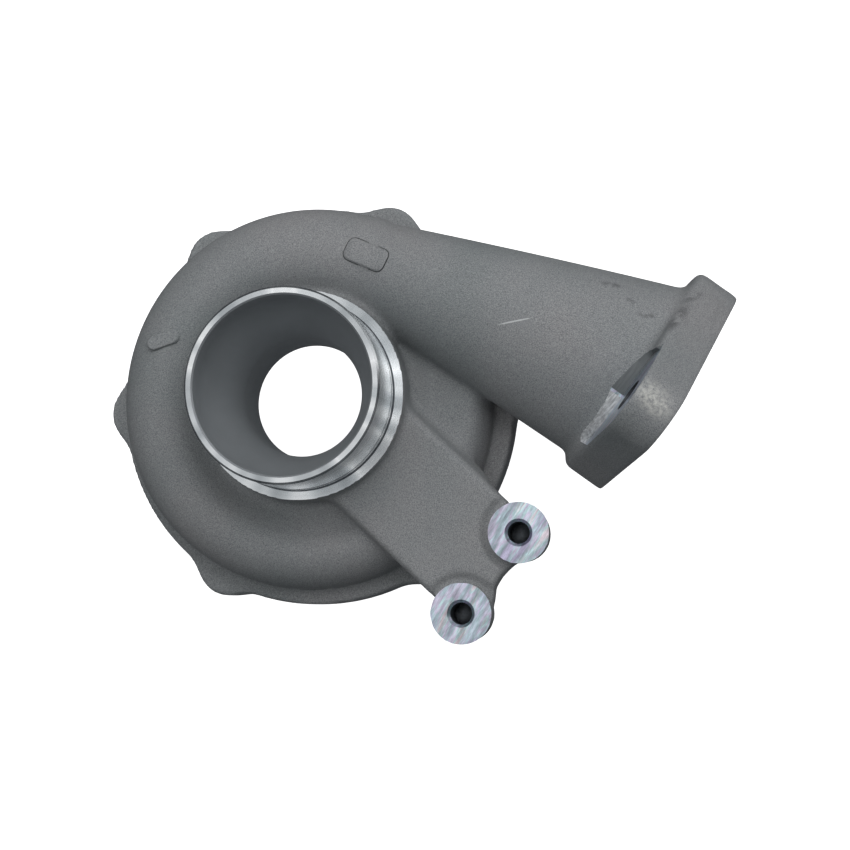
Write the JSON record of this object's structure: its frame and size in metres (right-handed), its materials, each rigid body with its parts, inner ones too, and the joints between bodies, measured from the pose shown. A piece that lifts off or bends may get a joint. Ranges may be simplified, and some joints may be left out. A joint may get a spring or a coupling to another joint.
{
  "type": "turbo compressor housing",
  "caption": "Cast scroll housing with a machined inlet stub, a slanted flanged outlet pipe, a lugged back flange and an arm with threaded bosses.",
  "frame": {"origin": "where the wheel axis meets the machined back face", "axes": "+Z along the wheel axis towards the air inlet, +X to the right of the picture, on the side of the outlet, +Y up in the picture"},
  "size_m": [0.2059, 0.1428, 0.0999],
  "materials": {
    "cast_aluminium": "sand-cast skin with bright turned and milled faces"
  },
  "bodies": {
    "root": {"compressor_housing": "cast_aluminium"}
  },
  "joints": []
}
